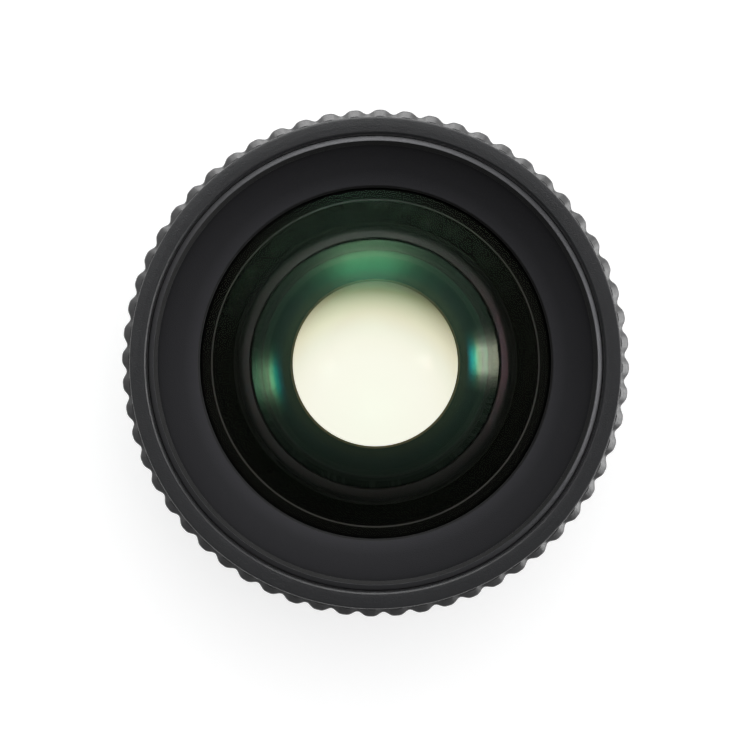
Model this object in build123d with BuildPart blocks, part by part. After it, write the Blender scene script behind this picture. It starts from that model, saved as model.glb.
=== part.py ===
from build123d import *
import os
from math import copysign, cos, radians, sin, sqrt

# Wide-angle conversion lens: an afocal 0.7x attachment that screws to the front of a camera's lens.
# Millimetres. +Z is the optical axis, towards the subject. The origin is on that axis, in the end
# face of the rear thread, so the lens stands on the plane z = 0 with its front glass facing up.
#
# Two groups of pieces turn against each other. The optical unit is the barrel with its glass, the
# front bezel and the light baffles. The attachment ring is the fluted grip, its shell, the tapered
# housing and the threaded ring. It turns freely round the barrel, so the optics keep their place
# while the rear thread is done up.

os.makedirs("parts", exist_ok=True)

# Glass, from the rear: thicknesses and air gaps on the axis, but the crown element's at its edge
rear_recess = 3.1
flint_thickness = 1.6
crown_edge_thickness = 1.36
rear_air_gap = 9.3
middle_thickness = 1.8
front_thickness = 2.0
front_recess = 4.0

# Radii of curvature; a positive curve bulges to the front
rear_curve = -113.5
cement_curve = -48.0
crown_curve = 60.0
middle_inner_curve = 50.0
middle_outer_curve = 200.0
front_inner_curve = 27.0
front_outer_curve = 92.0

# Radii of the elements, and of the polished part where a flat rim surrounds it
middle_element_step = 1.25
middle_rim_width = 1.35
middle_flat_width = 1.45
front_element_radius = 22.6
front_rim_step = 0.95
ground_rim = 0.2

# Fits
running_gap = 0.05
glide_gap = 0.02
lens_gap = 0.05
seat_gap = 0.1
front_rim_gap = 0.37

# Rear thread, M37 x 0.75, on its flanged ring
rear_thread_diameter = 37.0
rear_thread_length = 3.6
rear_thread_wall = 1.1
thread_end_chamfer = 0.35
flange_width = 3.5
flange_thickness = 1.4

# Barrel
tail_wall = 0.75
tail_setback = 0.6
tail_shoulder_gap = 0.8
body_wall = 1.8
waist_wall = 2.15
waist_thread_runout = 0.7
middle_ledge_width = 1.85
middle_ledge_thickness = 1.5
middle_ring_step = 0.4
front_ledge_thickness = 1.4
front_ring_step = 1.35
neck_wall = 2.4
neck_length = 3.4

# Retaining and lock rings
rear_ring_lip = 1.25
rear_ring_thickness = 1.6
middle_ring_lip = 0.2
middle_ring_thickness = 0.6
middle_ring_face_width = 0.7
middle_ring_step_depth = 0.25
front_ring_lip = 0.65
front_ring_thickness = 0.75
front_ring_edge = 0.25
lock_ring_width = 2.9
lock_ring_thickness = 1.8
spanner_slot_width = 1.4
spanner_slot_depth = 0.5
lock_ring_slots = 4

# Inner baffle tube, which tapers with the cone of light
tube_foot_width = 1.8
tube_wall = 0.45

# Front bezel
bezel_skirt_wall = 1.0
bezel_step = 0.85
bezel_web = 0.8
bezel_drop = 1.2
bezel_wall = 2.1
bezel_edge = 0.3
bezel_mouth_edge = 0.25
bezel_heel_edge = 0.3
bezel_groove_width = 0.15
bezel_groove_depth = 1.3

# Light baffle: its wall takes accessories in an M55 x 0.75 thread, whose bore is 54.18 mm
baffle_wall = 1.11
baffle_ridge_width = 0.65
baffle_ridge_fall = 0.38
baffle_thread_edge = 0.41
baffle_thread_length = 3.6
baffle_lip_height = 0.35
baffle_lip_width = 0.6
baffle_overhang = 0.4

# Washers and seals
gasket_thickness = 0.3
gasket_width = 2.7
gasket_edge_gap = 0.25
front_washer_thickness = 0.4
rear_washer_thickness = 0.5
washer_edge_gap = 0.4
seal_thickness = 0.3
seal_width = 1.6
seal_edge_gap = 0.15

# Shell of the attachment ring
shell_wall = 2.15
shell_lip_thickness = 1.6
front_lip_height = 0.6
front_lip_rise = 0.8
rear_band_height = 4.2
rear_band_rise = 1.3
band_edge = 0.3

# Fluted grip
grip_height = 12.3
grip_base = 1.52
rib_count = 60
rib_depth = 0.58
flute_radius = 0.85
rib_corner_radius = 0.7
rib_turn = 4.86
grip_end_run = 0.9
grip_end_fall = 0.7

# Tapered rear housing
housing_wall = 1.8
housing_rim_height = 2.4
housing_shoulder_radius = 3.0
housing_spigot_length = 3.0
housing_floor = 1.6
housing_foot_wall = 0.75
housing_foot_height = 0.9
flange_gap = 0.05
floor_bore_step = 0.4

# Screws
mount_screw_count = 3
mount_screw_inset = 1.8
mount_screw_radius = 0.7
mount_screw_head_radius = 1.2
driver_cross_length = 1.3
driver_cross_width = 0.3
driver_cross_depth = 0.3
grub_screw_count = 3
grub_screw_radius = 0.8
grub_screw_length = 3.4
grub_screw_sink = 0.5
bezel_screw_count = 3
bezel_screw_radius = 0.6
bezel_screw_length = 1.7
bezel_screw_sink = 0.1
hex_socket_share = 0.55
hex_socket_depth = 0.6


def surface_height(vertex, curve, radius):
    """Height of a spherical surface at a distance from the axis."""
    return vertex - copysign(abs(curve) - sqrt(curve**2 - radius**2), curve)


def surface_arc(vertex, curve, start, end):
    """The outline of a spherical surface from one radius to another."""
    radii = (start, (start + end) / 2, end)
    return ThreePointArc(*[(r, surface_height(vertex, curve, r)) for r in radii])


def lens_outline(front, rear, front_clear, rear_clear, edge_radius):
    """Half outline of a lens: two surfaces, each a vertex and a curve, with a flat rim round each."""
    front_rim = surface_height(*front, front_clear)
    rear_rim = surface_height(*rear, rear_clear)
    surface_arc(*front, 0, front_clear)
    Polyline(
        (front_clear, front_rim),
        (edge_radius, front_rim),
        (edge_radius, rear_rim),
        (rear_clear, rear_rim),
    )
    surface_arc(*rear, rear_clear, 0)
    Line((0, rear[0]), (0, front[0]))


def ring_outline(inner, outer, bottom, top):
    """Half section of a plain ring."""
    Polyline((inner, bottom), (outer, bottom), (outer, top), (inner, top), close=True)


def radial_planes(count, radius, level):
    """Planes that face outwards at one height, evenly spaced round the axis."""
    planes = []
    for index in range(count):
        turn = radians(90 + index * 360 / count)
        outwards = Vector(cos(turn), sin(turn), 0)
        place = outwards * radius + Vector(0, 0, level)
        planes.append(Plane(origin=place, x_dir=(0, 0, 1), z_dir=outwards))
    return planes


# Radii of the rear stack, from the thread in to the glass
thread_radius = rear_thread_diameter / 2
thread_ring_bore = thread_radius - rear_thread_wall
tail_radius = thread_ring_bore - running_gap
tail_bore = tail_radius - tail_wall
rear_element_radius = tail_bore - lens_gap
rear_clear_radius = rear_element_radius - ground_rim
middle_element_radius = rear_element_radius + middle_element_step
middle_clear_radius = middle_element_radius - middle_rim_width
middle_front_radius = middle_clear_radius - middle_flat_width

# Heights of the glass, each piece resting on the one behind it
rear_vertex = rear_recess
cement_vertex = rear_vertex + flint_thickness
crown_rim = surface_height(cement_vertex, cement_curve, rear_clear_radius) + crown_edge_thickness
crown_vertex = crown_rim - surface_height(0, crown_curve, rear_clear_radius)
middle_rear_vertex = crown_vertex + rear_air_gap
middle_front_vertex = middle_rear_vertex + middle_thickness
middle_seat = surface_height(middle_rear_vertex, middle_inner_curve, middle_clear_radius)
middle_rim = surface_height(middle_front_vertex, middle_outer_curve, middle_front_radius)
middle_ring_top = middle_rim + middle_ring_thickness
middle_lens_bore = middle_element_radius + lens_gap
middle_ring_radius = middle_lens_bore + middle_ring_step
front_clear_radius = middle_ring_radius - front_rim_step
front_seat = middle_ring_top + front_rim_gap
front_rear_vertex = front_seat - surface_height(0, front_inner_curve, front_clear_radius)
front_vertex = front_rear_vertex + front_thickness
overall_height = front_vertex + front_recess

# Rear retaining ring, baffle tube and body of the barrel
rear_ring_bore = rear_element_radius - rear_ring_lip
rear_ring_top = surface_height(rear_vertex, rear_curve, rear_ring_bore)
rear_ring_bottom = rear_ring_top - rear_ring_thickness
tube_exit_radius = rear_element_radius - tube_foot_width
tube_bottom = surface_height(crown_vertex, crown_curve, tube_exit_radius)
body_radius = tail_bore + body_wall

# Seat of the middle element
middle_ledge_bore = middle_lens_bore - middle_ledge_width
middle_ledge_bottom = middle_seat - middle_ledge_thickness
middle_ring_seat = middle_rim - seat_gap
waist_radius = middle_ring_radius + waist_wall
lock_ring_radius = waist_radius + lock_ring_width

# Seat of the front element
front_ledge = front_seat - gasket_thickness
front_lens_bore = front_element_radius + lens_gap
front_ring_bore = front_element_radius - front_ring_lip
front_ring_bottom = surface_height(front_vertex, front_outer_curve, front_ring_bore)
front_ring_seat = front_ring_bottom - seat_gap
front_ring_top = front_ring_bottom + front_ring_thickness
front_ring_radius = front_lens_bore + front_ring_step
neck_radius = front_ring_radius + neck_wall
neck_top = front_ring_top + seat_gap

# Bezel, outwards and upwards from the neck of the barrel
journal_radius = neck_radius + bezel_skirt_wall
bezel_bottom = front_vertex - bezel_drop
neck_bottom = bezel_bottom - neck_length
web_top = bezel_bottom + bezel_web
baffle_seat_radius = journal_radius + bezel_step
bezel_mouth_radius = baffle_seat_radius + bezel_groove_width
bezel_radius = bezel_mouth_radius + bezel_wall
groove_floor = overall_height - bezel_groove_depth
baffle_radius = baffle_seat_radius - lens_gap
accessory_bore = baffle_radius - baffle_wall
cone_top = overall_height - baffle_thread_length
baffle_mouth_radius = front_element_radius - baffle_overhang
baffle_lip_bottom = front_ring_top + seat_gap
baffle_lip_top = baffle_lip_bottom + baffle_lip_height

# Bearing of the attachment ring: its lip is held between two washers
bearing_top = front_ledge - front_ledge_thickness
shell_lip_top = bearing_top - front_washer_thickness - glide_gap
shell_lip_bottom = shell_lip_top - shell_lip_thickness
lock_ring_top = shell_lip_bottom - glide_gap - rear_washer_thickness
lock_ring_bottom = lock_ring_top - lock_ring_thickness
waist_bottom = lock_ring_bottom - waist_thread_runout

# Shell, grip and housing
shell_bore = journal_radius + running_gap
shell_lip_bore = waist_radius + running_gap
shell_top = bezel_bottom - seal_thickness - running_gap
grip_seat_radius = shell_bore + shell_wall
front_lip_radius = grip_seat_radius + front_lip_rise
rear_band_radius = grip_seat_radius + rear_band_rise
grip_top = shell_top - front_lip_height
grip_bottom = grip_top - grip_height
shell_bottom = grip_bottom - rear_band_height
flute_floor_radius = grip_seat_radius + grip_base
grip_radius = flute_floor_radius + rib_depth
spigot_top = shell_bottom + housing_spigot_length
housing_bore = shell_bore - housing_wall
housing_rim_bottom = shell_bottom - housing_rim_height

# Floor of the housing and the flange screwed into it
flange_bottom = rear_thread_length
flange_top = flange_bottom + flange_thickness
flange_radius = thread_radius + flange_width
floor_top = flange_top + housing_floor
floor_bore = thread_ring_bore + floor_bore_step
flange_recess_radius = flange_radius + flange_gap
foot_radius = flange_recess_radius + housing_foot_wall
foot_top = flange_bottom + housing_foot_height
tail_shoulder = floor_top + tail_shoulder_gap
screw_circle_radius = thread_radius + mount_screw_inset

# Radial screws
bezel_screw_level = (neck_bottom + neck_top) / 2
bezel_screw_face = journal_radius - bezel_screw_sink
bezel_screw_point = bezel_screw_face - bezel_screw_length
grub_screw_level = (shell_bottom + spigot_top) / 2
grub_screw_face = rear_band_radius - grub_screw_sink
grub_screw_point = grub_screw_face - grub_screw_length

# Main barrel: one stepped tube that carries all the glass and the bearing for the attachment ring
with BuildPart() as main_barrel:
    with BuildSketch(Plane.XZ):
        with BuildLine():
            Polyline(
                (tail_bore, tail_setback),
                (tail_radius, tail_setback),
                (tail_radius, tail_shoulder),
                (body_radius, tail_shoulder + body_radius - tail_radius),
                (body_radius, waist_bottom - waist_radius + body_radius),
                (waist_radius, waist_bottom),
                (waist_radius, bearing_top),
                (journal_radius, bearing_top),
                (journal_radius, neck_bottom),
                (neck_radius, neck_bottom),
                (neck_radius, neck_top),
                (front_ring_radius, neck_top),
                (front_ring_radius, front_ring_seat),
                (front_lens_bore, front_ring_seat),
                (front_lens_bore, front_ledge),
                (middle_ring_radius, front_ledge),
                (middle_ring_radius, middle_ring_seat),
                (middle_lens_bore, middle_ring_seat),
                (middle_lens_bore, middle_seat),
                (middle_ledge_bore, middle_seat),
                (middle_ledge_bore, middle_ledge_bottom),
                (tail_bore, middle_ledge_bottom),
                close=True,
            )
        make_face()
    revolve(axis=Axis.Z)
    with BuildSketch(*radial_planes(bezel_screw_count, bezel_screw_point, bezel_screw_level)):
        Circle(bezel_screw_radius)
    extrude(amount=bezel_screw_length, mode=Mode.SUBTRACT)
main_barrel.part.label = "main_barrel"
export_step(main_barrel.part, "parts/main_barrel.step")

# Front element: a meniscus, strongly hollow behind, with a flat rear rim that sits on the gasket
with BuildPart() as front_element:
    with BuildSketch(Plane.XZ):
        with BuildLine():
            lens_outline(
                (front_vertex, front_outer_curve),
                (front_rear_vertex, front_inner_curve),
                front_element_radius - ground_rim,
                front_clear_radius,
                front_element_radius,
            )
        make_face()
    revolve(axis=Axis.Z)
front_element.part.label = "front_element"
export_step(front_element.part, "parts/front_element.step")

# Middle element: a meniscus bent the same way as the front one, with a wide polished rim in front
with BuildPart() as middle_element:
    with BuildSketch(Plane.XZ):
        with BuildLine():
            lens_outline(
                (middle_front_vertex, middle_outer_curve),
                (middle_rear_vertex, middle_inner_curve),
                middle_front_radius,
                middle_clear_radius,
                middle_element_radius,
            )
        make_face()
    revolve(axis=Axis.Z)
middle_element.part.label = "middle_element"
export_step(middle_element.part, "parts/middle_element.step")

# Rear doublet: a thick crown element cemented to a thin flint element
with BuildPart() as rear_crown_element:
    with BuildSketch(Plane.XZ):
        with BuildLine():
            lens_outline(
                (crown_vertex, crown_curve),
                (cement_vertex, cement_curve),
                rear_clear_radius,
                rear_clear_radius,
                rear_element_radius,
            )
        make_face()
    revolve(axis=Axis.Z)
rear_crown_element.part.label = "rear_crown_element"
export_step(rear_crown_element.part, "parts/rear_crown_element.step")

with BuildPart() as rear_flint_element:
    with BuildSketch(Plane.XZ):
        with BuildLine():
            lens_outline(
                (cement_vertex, cement_curve),
                (rear_vertex, rear_curve),
                rear_clear_radius,
                rear_clear_radius,
                rear_element_radius,
            )
        make_face()
    revolve(axis=Axis.Z)
rear_flint_element.part.label = "rear_flint_element"
export_step(rear_flint_element.part, "parts/rear_flint_element.step")

# Gasket between the front element and its ledge
gasket_radius = front_lens_bore - gasket_edge_gap
with BuildPart() as front_seat_gasket:
    with BuildSketch(Plane.XZ):
        with BuildLine():
            ring_outline(gasket_radius - gasket_width, gasket_radius, front_ledge, front_seat)
        make_face()
    revolve(axis=Axis.Z)
front_seat_gasket.part.label = "front_seat_gasket"
export_step(front_seat_gasket.part, "parts/front_seat_gasket.step")

# Front retaining ring: bears on the glass with its inner edge, with two spanner slots
with BuildPart() as front_retaining_ring:
    with BuildSketch(Plane.XZ):
        with BuildLine():
            Polyline(
                (front_ring_bore, front_ring_bottom),
                (front_ring_radius, front_ring_bottom),
                (front_ring_radius, front_ring_top),
                (front_ring_bore + front_ring_edge, front_ring_top),
                (front_ring_bore, front_ring_top - front_ring_edge),
                close=True,
            )
        make_face()
    revolve(axis=Axis.Z)
    with BuildSketch(Plane.XY.offset(front_ring_top)):
        with PolarLocations(front_ring_radius, 2):
            Rectangle(2 * (front_ring_radius - baffle_mouth_radius), spanner_slot_width)
    extrude(amount=-spanner_slot_depth, mode=Mode.SUBTRACT)
front_retaining_ring.part.label = "front_retaining_ring"
export_step(front_retaining_ring.part, "parts/front_retaining_ring.step")

# Middle retaining ring: a raised inner face, and two spanner slots in the step round it
middle_ring_bore = middle_clear_radius - middle_ring_lip
middle_face_radius = middle_ring_bore + middle_ring_face_width
middle_step_top = middle_ring_top - middle_ring_step_depth
with BuildPart() as middle_retaining_ring:
    with BuildSketch(Plane.XZ):
        with BuildLine():
            Polyline(
                (middle_ring_bore, middle_rim),
                (middle_ring_radius, middle_rim),
                (middle_ring_radius, middle_step_top),
                (middle_face_radius, middle_step_top),
                (middle_face_radius, middle_ring_top),
                (middle_ring_bore, middle_ring_top),
                close=True,
            )
        make_face()
    revolve(axis=Axis.Z)
    with BuildSketch(Plane.XY.offset(middle_step_top)):
        with PolarLocations(middle_ring_radius, 2):
            Rectangle(2 * (middle_ring_radius - middle_face_radius), spanner_slot_width)
    extrude(amount=-spanner_slot_depth / 2, mode=Mode.SUBTRACT)
middle_retaining_ring.part.label = "middle_retaining_ring"
export_step(middle_retaining_ring.part, "parts/middle_retaining_ring.step")

# Inner baffle tube: a tapered spacer between the ledge and the rear doublet
with BuildPart() as inner_baffle_tube:
    with BuildSketch(Plane.XZ):
        with BuildLine():
            Polyline(
                (tube_exit_radius, tube_bottom),
                (rear_element_radius, tube_bottom),
                (rear_element_radius, middle_ledge_bottom),
                (rear_element_radius - tube_wall, middle_ledge_bottom),
                close=True,
            )
        make_face()
    revolve(axis=Axis.Z)
inner_baffle_tube.part.label = "inner_baffle_tube"
export_step(inner_baffle_tube.part, "parts/inner_baffle_tube.step")

# Rear retaining ring, with two spanner slots across its rear face
with BuildPart() as rear_retaining_ring:
    with BuildSketch(Plane.XZ):
        with BuildLine():
            ring_outline(rear_ring_bore, tail_bore, rear_ring_bottom, rear_ring_top)
        make_face()
    revolve(axis=Axis.Z)
    with BuildSketch(Plane.XY.offset(rear_ring_bottom)):
        Rectangle(2 * tail_radius, spanner_slot_width)
    extrude(amount=spanner_slot_depth, mode=Mode.SUBTRACT)
rear_retaining_ring.part.label = "rear_retaining_ring"
export_step(rear_retaining_ring.part, "parts/rear_retaining_ring.step")

# Front bezel: skirt screwed to the neck of the barrel, web, and a wall round the light baffle
with BuildPart() as front_bezel:
    with BuildSketch(Plane.XZ):
        with BuildLine():
            Polyline(
                (neck_radius, neck_bottom),
                (journal_radius, neck_bottom),
                (journal_radius, bezel_bottom),
                (bezel_radius - bezel_heel_edge, bezel_bottom),
                (bezel_radius, bezel_bottom + bezel_heel_edge),
                (bezel_radius, overall_height),
                (bezel_mouth_radius, overall_height),
                (bezel_mouth_radius, groove_floor),
                (baffle_seat_radius, groove_floor),
                (baffle_seat_radius, web_top),
                (neck_radius, web_top),
                close=True,
            )
        make_face()
    revolve(axis=Axis.Z)
    fillet(front_bezel.edges().group_by(Axis.Z)[-1].sort_by(SortBy.RADIUS)[-1], radius=bezel_edge)
    chamfer(front_bezel.edges().group_by(Axis.Z)[-1].sort_by(SortBy.RADIUS)[0], length=bezel_mouth_edge)
    with BuildSketch(*radial_planes(bezel_screw_count, bezel_screw_point, bezel_screw_level)):
        Circle(bezel_screw_radius)
    extrude(amount=bezel_screw_length + bezel_screw_sink, mode=Mode.SUBTRACT)
front_bezel.part.label = "front_bezel"
export_step(front_bezel.part, "parts/front_bezel.step")

# Screws that lock the bezel to the barrel, hidden under the attachment ring
with BuildPart() as bezel_lock_screws:
    bezel_screw_faces = radial_planes(bezel_screw_count, bezel_screw_face, bezel_screw_level)
    with BuildSketch(*bezel_screw_faces):
        Circle(bezel_screw_radius)
    extrude(amount=-bezel_screw_length)
    with BuildSketch(*bezel_screw_faces):
        RegularPolygon(bezel_screw_radius * hex_socket_share, 6)
    extrude(amount=-hex_socket_depth, mode=Mode.SUBTRACT)
bezel_lock_screws.part.label = "bezel_lock_screws"
export_step(bezel_lock_screws.part, "parts/bezel_lock_screws.step")

# Light baffle: the wall with the accessory thread, and a cone from there down to the retaining ring
with BuildPart() as light_baffle:
    with BuildSketch(Plane.XZ):
        with BuildLine():
            Polyline(
                (baffle_radius, web_top),
                (baffle_radius, overall_height - baffle_ridge_fall),
                (baffle_radius - baffle_ridge_width, overall_height),
                (accessory_bore + baffle_thread_edge, overall_height),
                (accessory_bore, overall_height - baffle_thread_edge),
                (accessory_bore, cone_top),
                (baffle_mouth_radius, baffle_lip_top),
                (baffle_mouth_radius, baffle_lip_bottom),
                (baffle_mouth_radius + baffle_lip_width, baffle_lip_bottom),
                (neck_radius - lens_gap, web_top),
                close=True,
            )
        make_face()
    revolve(axis=Axis.Z)
light_baffle.part.label = "light_baffle"
export_step(light_baffle.part, "parts/light_baffle.step")

# Washers on both sides of the shell's lip, and the ring that locks them to the barrel
washer_bore = waist_radius + washer_edge_gap
with BuildPart() as front_glide_washer:
    with BuildSketch(Plane.XZ):
        with BuildLine():
            washer_rim = shell_bore - washer_edge_gap
            ring_outline(washer_bore, washer_rim, bearing_top - front_washer_thickness, bearing_top)
        make_face()
    revolve(axis=Axis.Z)
front_glide_washer.part.label = "front_glide_washer"
export_step(front_glide_washer.part, "parts/front_glide_washer.step")

with BuildPart() as rear_glide_washer:
    with BuildSketch(Plane.XZ):
        with BuildLine():
            washer_rim = lock_ring_radius - washer_edge_gap
            ring_outline(washer_bore, washer_rim, lock_ring_top, lock_ring_top + rear_washer_thickness)
        make_face()
    revolve(axis=Axis.Z)
rear_glide_washer.part.label = "rear_glide_washer"
export_step(rear_glide_washer.part, "parts/rear_glide_washer.step")

with BuildPart() as barrel_lock_ring:
    with BuildSketch(Plane.XZ):
        with BuildLine():
            ring_outline(waist_radius, lock_ring_radius, lock_ring_bottom, lock_ring_top)
        make_face()
    revolve(axis=Axis.Z)
    with BuildSketch(Plane.XY.offset(lock_ring_bottom)):
        with PolarLocations(lock_ring_radius, lock_ring_slots):
            Rectangle(lock_ring_width, spanner_slot_width)
    extrude(amount=lock_ring_thickness, mode=Mode.SUBTRACT)
barrel_lock_ring.part.label = "barrel_lock_ring"
export_step(barrel_lock_ring.part, "parts/barrel_lock_ring.step")

# Felt seal under the bezel, which keeps light and dust out of the gap behind it
seal_bore = shell_bore + seal_edge_gap
with BuildPart() as light_seal_ring:
    with BuildSketch(Plane.XZ):
        with BuildLine():
            ring_outline(seal_bore, seal_bore + seal_width, bezel_bottom - seal_thickness, bezel_bottom)
        make_face()
    revolve(axis=Axis.Z)
light_seal_ring.part.label = "light_seal_ring"
export_step(light_seal_ring.part, "parts/light_seal_ring.step")

# Shell of the attachment ring: bearing bore and lip inside, seat for the grip outside
with BuildPart() as attachment_shell:
    with BuildSketch(Plane.XZ):
        with BuildLine():
            Polyline(
                (shell_bore, shell_lip_top),
                (shell_bore, shell_top),
                (front_lip_radius, shell_top),
                (front_lip_radius, grip_top),
                (grip_seat_radius, grip_top),
                (grip_seat_radius, grip_bottom),
                (rear_band_radius - band_edge, grip_bottom),
                (rear_band_radius, grip_bottom - band_edge),
                (rear_band_radius, shell_bottom),
                (shell_bore, shell_bottom),
                (shell_bore, shell_lip_bottom),
                (shell_lip_bore, shell_lip_bottom),
                (shell_lip_bore, shell_lip_top),
                close=True,
            )
        make_face()
    revolve(axis=Axis.Z)
    with BuildSketch(*radial_planes(grub_screw_count, grub_screw_point, grub_screw_level)):
        Circle(grub_screw_radius)
    extrude(amount=grub_screw_length + grub_screw_sink, mode=Mode.SUBTRACT)
attachment_shell.part.label = "attachment_shell"
export_step(attachment_shell.part, "parts/attachment_shell.step")

# Fluted grip: round-bottomed flutes cut from a ring leave flat ribs with rounded corners
with BuildPart() as grip_sleeve:
    with BuildSketch(Plane.XY.offset(grip_bottom)) as grip_section:
        Circle(grip_radius)
        with PolarLocations(flute_floor_radius + flute_radius, rib_count, rib_turn + 180 / rib_count):
            Circle(flute_radius, mode=Mode.SUBTRACT)
        fillet(grip_section.vertices(), radius=rib_corner_radius)
        Circle(grip_seat_radius, mode=Mode.SUBTRACT)
    extrude(amount=grip_height)
    with BuildSketch(Plane.XZ):
        with BuildLine():
            Polyline(
                (grip_seat_radius, grip_bottom),
                (grip_radius - grip_end_run, grip_bottom),
                (grip_radius, grip_bottom + grip_end_fall),
                (grip_radius, grip_top - grip_end_fall),
                (grip_radius - grip_end_run, grip_top),
                (grip_seat_radius, grip_top),
                close=True,
            )
        make_face()
    revolve(axis=Axis.Z, mode=Mode.INTERSECT)
grip_sleeve.part.label = "grip_sleeve"
export_step(grip_sleeve.part, "parts/grip_sleeve.step")

# Rear housing: rim, rounded shoulder and taper, with a spigot into the shell and a floor behind
taper_run = rear_band_radius - foot_radius
taper_rise = housing_rim_bottom - foot_top
taper_length = sqrt(taper_run**2 + taper_rise**2)
floor_taper_radius = foot_radius + taper_run * (floor_top - foot_top) / taper_rise
floor_radius = floor_taper_radius - housing_wall * taper_length / taper_rise
taper_end = floor_top + (housing_bore - floor_radius) * taper_rise / taper_run
with BuildPart() as rear_housing:
    with BuildSketch(Plane.XZ):
        with BuildLine():
            FilletPolyline(
                (rear_band_radius, shell_bottom),
                (rear_band_radius, housing_rim_bottom),
                (foot_radius, foot_top),
                radius=housing_shoulder_radius,
            )
            Polyline(
                (foot_radius, foot_top),
                (foot_radius, flange_bottom),
                (flange_recess_radius, flange_bottom),
                (flange_recess_radius, flange_top),
                (floor_bore, flange_top),
                (floor_bore, floor_top),
                (floor_radius, floor_top),
                (housing_bore, taper_end),
                (housing_bore, spigot_top),
                (shell_bore, spigot_top),
                (shell_bore, shell_bottom),
                (rear_band_radius, shell_bottom),
            )
        make_face()
    revolve(axis=Axis.Z)
    with BuildSketch(Plane.XY.offset(flange_top)):
        with PolarLocations(screw_circle_radius, mount_screw_count):
            Circle(mount_screw_radius)
    extrude(amount=housing_floor, mode=Mode.SUBTRACT)
    with BuildSketch(*radial_planes(grub_screw_count, grub_screw_point, grub_screw_level)):
        Circle(grub_screw_radius)
    extrude(amount=grub_screw_length, mode=Mode.SUBTRACT)
rear_housing.part.label = "rear_housing"
export_step(rear_housing.part, "parts/rear_housing.step")

# Grub screws that lock the housing's spigot in the shell
with BuildPart() as housing_lock_screws:
    grub_screw_faces = radial_planes(grub_screw_count, grub_screw_face, grub_screw_level)
    with BuildSketch(*grub_screw_faces):
        Circle(grub_screw_radius)
    extrude(amount=-grub_screw_length)
    with BuildSketch(*grub_screw_faces):
        RegularPolygon(grub_screw_radius * hex_socket_share, 6)
    extrude(amount=-hex_socket_depth, mode=Mode.SUBTRACT)
housing_lock_screws.part.label = "housing_lock_screws"
export_step(housing_lock_screws.part, "parts/housing_lock_screws.step")

# Thread ring: the M37 spigot and its flange, which is the seat on the camera lens
seat_plane = Plane(origin=(0, 0, flange_bottom), x_dir=(1, 0, 0), z_dir=(0, 0, -1))
with BuildPart() as thread_ring:
    with BuildSketch(Plane.XZ):
        with BuildLine():
            Polyline(
                (thread_ring_bore, 0),
                (thread_radius - thread_end_chamfer, 0),
                (thread_radius, thread_end_chamfer),
                (thread_radius, flange_bottom),
                (flange_radius, flange_bottom),
                (flange_radius, flange_top),
                (thread_ring_bore, flange_top),
                close=True,
            )
        make_face()
    revolve(axis=Axis.Z)
    with Locations(seat_plane):
        with PolarLocations(screw_circle_radius, mount_screw_count):
            CounterSinkHole(mount_screw_radius, mount_screw_head_radius, flange_thickness, 90)
thread_ring.part.label = "thread_ring"
export_step(thread_ring.part, "parts/thread_ring.step")

# Countersunk screws with a cross recess, through the flange into the housing's floor
head_height = mount_screw_head_radius - mount_screw_radius
screw_end = (Align.CENTER, Align.CENTER, Align.MAX)
with BuildPart(seat_plane) as mount_screws:
    with PolarLocations(screw_circle_radius, mount_screw_count):
        Cone(mount_screw_radius, mount_screw_head_radius, head_height, align=screw_end)
        Cylinder(mount_screw_radius, flange_thickness + housing_floor, align=screw_end)
    with BuildSketch(seat_plane):
        with PolarLocations(screw_circle_radius, mount_screw_count):
            Rectangle(driver_cross_length, driver_cross_width)
            Rectangle(driver_cross_width, driver_cross_length)
    extrude(amount=-driver_cross_depth, mode=Mode.SUBTRACT)
mount_screws.part.label = "mount_screws"
export_step(mount_screws.part, "parts/mount_screws.step")
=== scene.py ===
import bpy
import bmesh
from math import atan2, copysign, cos, pi, radians, sin, sqrt, tan
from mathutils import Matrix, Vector


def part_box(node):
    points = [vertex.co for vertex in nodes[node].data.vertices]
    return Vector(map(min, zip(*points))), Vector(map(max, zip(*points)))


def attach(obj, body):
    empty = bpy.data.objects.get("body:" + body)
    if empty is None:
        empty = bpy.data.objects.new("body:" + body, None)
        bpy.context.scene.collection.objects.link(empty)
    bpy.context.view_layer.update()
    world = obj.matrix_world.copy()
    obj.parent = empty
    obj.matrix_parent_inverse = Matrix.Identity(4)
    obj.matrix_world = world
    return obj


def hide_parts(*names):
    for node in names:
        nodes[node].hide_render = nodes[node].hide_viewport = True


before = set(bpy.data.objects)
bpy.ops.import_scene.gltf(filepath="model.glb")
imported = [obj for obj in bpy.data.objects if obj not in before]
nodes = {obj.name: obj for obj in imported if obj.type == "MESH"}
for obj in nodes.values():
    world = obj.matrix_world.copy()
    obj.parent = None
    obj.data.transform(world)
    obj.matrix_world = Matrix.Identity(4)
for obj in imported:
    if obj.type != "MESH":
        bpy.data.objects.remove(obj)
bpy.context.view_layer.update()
mm = 0.001
print("frame loaded:", len(nodes), "nodes")


# Sizes that the frame gives, in millimetres

def outerRadius(node):
    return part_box(node)[1].x / mm


def bottomOf(node):
    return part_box(node)[0].z / mm


def topOf(node):
    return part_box(node)[1].z / mm


# Node tree helpers

def addNode(tree, kind, inputs=None, **settings):
    node = tree.nodes.new(kind)
    for name, value in settings.items():
        setattr(node, name, value)
    for name, value in (inputs or {}).items():
        socket = node.inputs[name]
        if isinstance(value, bpy.types.NodeSocket):
            tree.links.new(value, socket)
        else:
            socket.default_value = value
    return node


def calc(tree, operation, first, second=0.0, third=0.0):
    node = addNode(tree, "ShaderNodeMath", {0: first, 1: second, 2: third}, operation=operation)
    return node.outputs[0]


def emptyMaterial(name):
    material = bpy.data.materials.new(name)
    material.use_nodes = True
    material.node_tree.nodes.clear()
    return material, material.node_tree


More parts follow.
